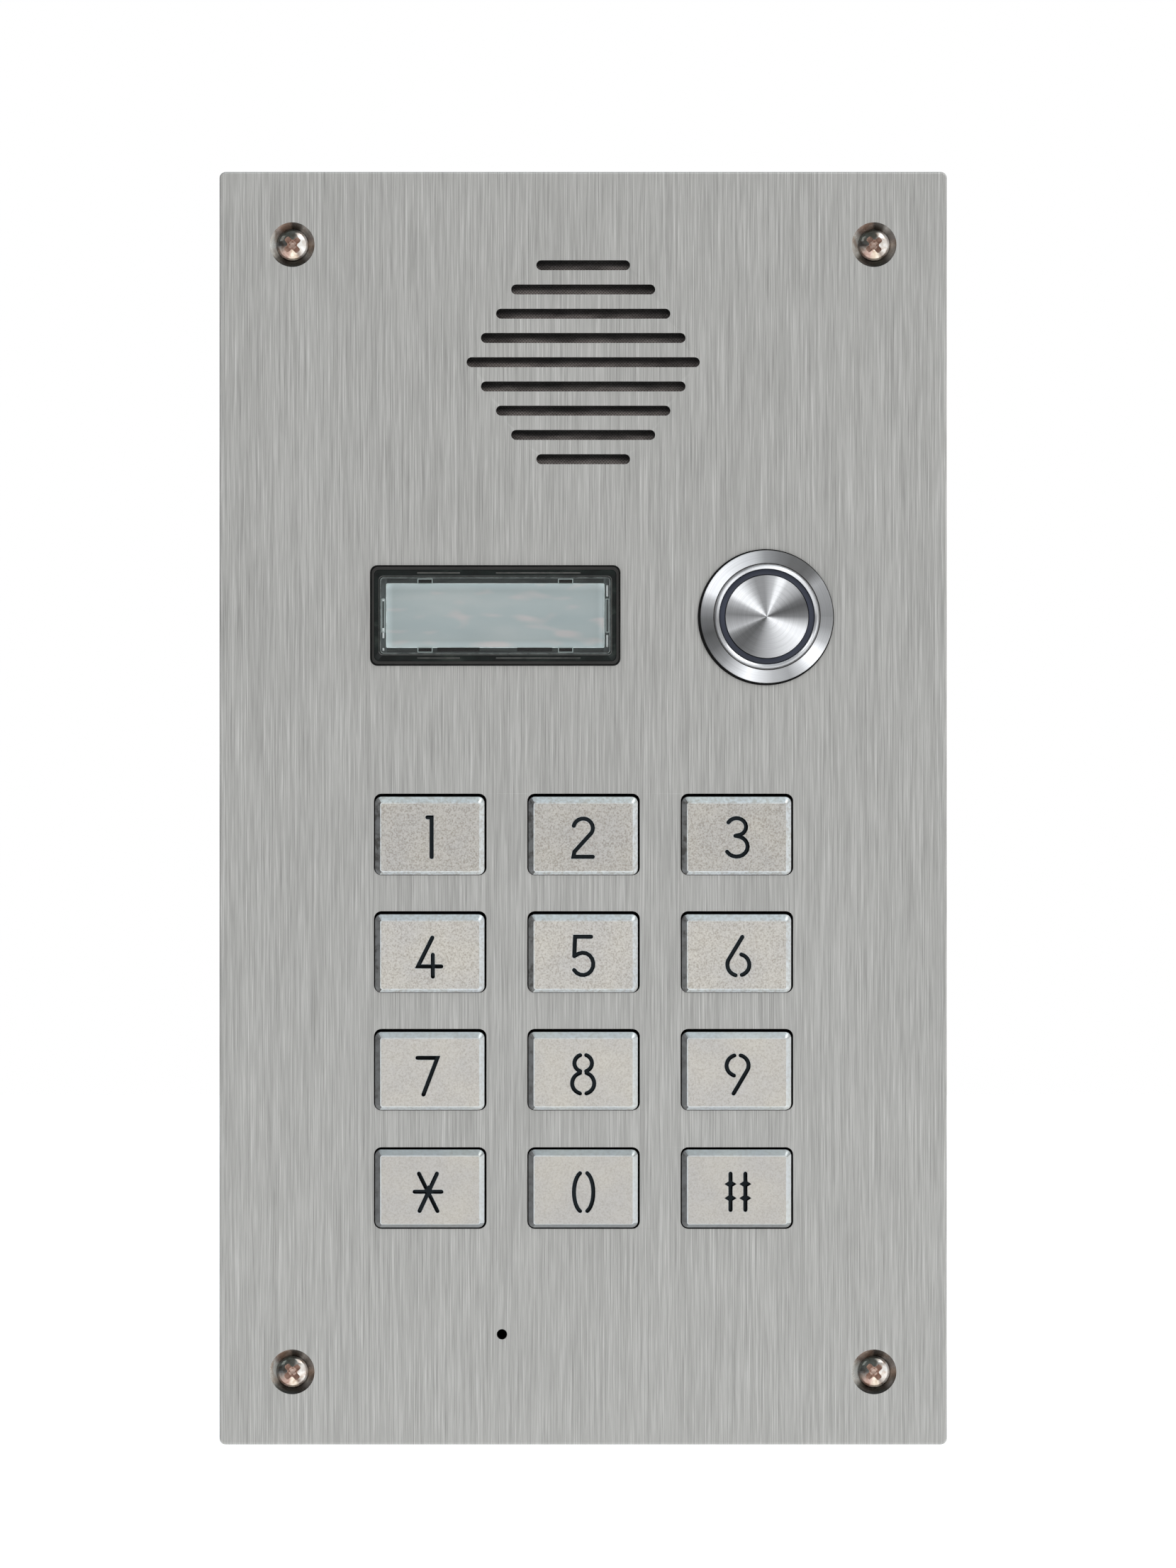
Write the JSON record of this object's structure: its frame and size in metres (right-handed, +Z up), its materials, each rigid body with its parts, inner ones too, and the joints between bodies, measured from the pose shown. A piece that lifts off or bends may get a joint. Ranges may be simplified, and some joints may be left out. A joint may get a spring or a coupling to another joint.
{
  "type": "door intercom panel",
  "caption": "Flush-mounted door intercom panel: brushed steel faceplate with speaker grille, name window, call button and numeric keypad over an in-wall box.",
  "frame": {"origin": "middle of the panel, on the face of the wall (the rear face of the rim gasket)", "axes": "+Z up the panel, +Y into the wall, +X to the visitor's right; the visitor stands on the -Y side"},
  "size_m": [0.12, 0.051, 0.21],
  "materials": {
    "plate_steel": "vertical brushed grain",
    "polished_metal": "bright nickel plate",
    "bezel_metal": "turned and satin polished",
    "disc_metal": "brushed in circles",
    "spring_steel": "drawn wire",
    "key_metal": "die-cast zinc, sand-blasted and satin plated",
    "key_filling": "dark translucent",
    "black_rubber": "matt",
    "mat_silicone": "translucent grey silicone",
    "black_plastic": "moulded",
    "box_plastic": "fine moulded texture",
    "smoked_plastic": "smoked polycarbonate",
    "clear_plastic": "clear polycarbonate",
    "ring_plastic": "translucent, unlit",
    "label_card": "plain card",
    "speaker_cloth": "woven",
    "cone_paper": "pressed",
    "basket_metal": "black",
    "magnet_iron": "ground",
    "capsule_can": "plain",
    "brass": "turned",
    "circuit_board": "solder resist over copper",
    "capacitor_sleeve": "shrink sleeve",
    "terminal_plastic": "moulded"
  },
  "bodies": {
    "panel": {"faceplate": "plate_steel", "weld_studs": "polished_metal", "stud_nuts": "polished_metal", "corner_screws": "polished_metal", "rim_gasket": "black_rubber", "back_box": "box_plastic", "box_inserts": "brass", "cable_grommet": "black_rubber", "speaker_cloth": "speaker_cloth", "speaker_gasket": "black_rubber", "speaker_basket": "basket_metal", "speaker_cone": "cone_paper", "speaker_magnet": "magnet_iron", "speaker_clamps": "polished_metal", "mic_boot": "black_rubber", "mic_capsule": "capsule_can", "window_frame": "smoked_plastic", "window_lens": "clear_plastic", "label_card": "label_card", "light_guide": "clear_plastic", "backlight_board": "circuit_board", "button_body": "bezel_metal", "button_seal": "black_rubber", "button_nut": "polished_metal", "button_light_ring": "ring_plastic", "button_switch": "black_plastic", "keypad_frame": "black_plastic", "keypad_mat": "mat_silicone", "keypad_board": "circuit_board", "main_board": "circuit_board", "board_parts": "black_plastic", "board_capacitors": "capacitor_sleeve", "terminal_block": "terminal_plastic", "board_standoffs": "brass", "button_spring": "spring_steel"},
    "button": {"call_button": "disc_metal"},
    "key_1": {"key_1_cap": "key_metal", "key_1_core": "key_filling"},
    "key_2": {"key_2_cap": "key_metal", "key_2_core": "key_filling"},
    "key_3": {"key_3_cap": "key_metal", "key_3_core": "key_filling"},
    "key_4": {"key_4_cap": "key_metal", "key_4_core": "key_filling"},
    "key_5": {"key_5_cap": "key_metal", "key_5_core": "key_filling"},
    "key_6": {"key_6_cap": "key_metal", "key_6_core": "key_filling"},
    "key_7": {"key_7_cap": "key_metal", "key_7_core": "key_filling"},
    "key_8": {"key_8_cap": "key_metal", "key_8_core": "key_filling"},
    "key_9": {"key_9_cap": "key_metal", "key_9_core": "key_filling"},
    "key_star": {"key_star_cap": "key_metal", "key_star_core": "key_filling"},
    "key_0": {"key_0_cap": "key_metal", "key_0_core": "key_filling"},
    "key_hash": {"key_hash_cap": "key_metal", "key_hash_core": "key_filling"}
  },
  "joints": [
    {"name": "button_press", "type": "slide", "parent": "panel", "child": "button", "axis": [0, 1, 0], "range_m": [0, 0.0015], "stiffness_N_per_m": 1500, "deforming": ["button_spring"]},
    {"name": "key_1_press", "type": "slide", "parent": "panel", "child": "key_1", "axis": [0, 1, 0], "range_m": [0, 0.001], "stiffness_N_per_m": 1500, "deforming": ["keypad_mat"]},
    {"name": "key_2_press", "type": "slide", "parent": "panel", "child": "key_2", "axis": [0, 1, 0], "range_m": [0, 0.001], "stiffness_N_per_m": 1500, "deforming": ["keypad_mat"]},
    {"name": "key_3_press", "type": "slide", "parent": "panel", "child": "key_3", "axis": [0, 1, 0], "range_m": [0, 0.001], "stiffness_N_per_m": 1500, "deforming": ["keypad_mat"]},
    {"name": "key_4_press", "type": "slide", "parent": "panel", "child": "key_4", "axis": [0, 1, 0], "range_m": [0, 0.001], "stiffness_N_per_m": 1500, "deforming": ["keypad_mat"]},
    {"name": "key_5_press", "type": "slide", "parent": "panel", "child": "key_5", "axis": [0, 1, 0], "range_m": [0, 0.001], "stiffness_N_per_m": 1500, "deforming": ["keypad_mat"]},
    {"name": "key_6_press", "type": "slide", "parent": "panel", "child": "key_6", "axis": [0, 1, 0], "range_m": [0, 0.001], "stiffness_N_per_m": 1500, "deforming": ["keypad_mat"]},
    {"name": "key_7_press", "type": "slide", "parent": "panel", "child": "key_7", "axis": [0, 1, 0], "range_m": [0, 0.001], "stiffness_N_per_m": 1500, "deforming": ["keypad_mat"]},
    {"name": "key_8_press", "type": "slide", "parent": "panel", "child": "key_8", "axis": [0, 1, 0], "range_m": [0, 0.001], "stiffness_N_per_m": 1500, "deforming": ["keypad_mat"]},
    {"name": "key_9_press", "type": "slide", "parent": "panel", "child": "key_9", "axis": [0, 1, 0], "range_m": [0, 0.001], "stiffness_N_per_m": 1500, "deforming": ["keypad_mat"]},
    {"name": "key_star_press", "type": "slide", "parent": "panel", "child": "key_star", "axis": [0, 1, 0], "range_m": [0, 0.001], "stiffness_N_per_m": 1500, "deforming": ["keypad_mat"]},
    {"name": "key_0_press", "type": "slide", "parent": "panel", "child": "key_0", "axis": [0, 1, 0], "range_m": [0, 0.001], "stiffness_N_per_m": 1500, "deforming": ["keypad_mat"]},
    {"name": "key_hash_press", "type": "slide", "parent": "panel", "child": "key_hash", "axis": [0, 1, 0], "range_m": [0, 0.001], "stiffness_N_per_m": 1500, "deforming": ["keypad_mat"]}
  ]
}
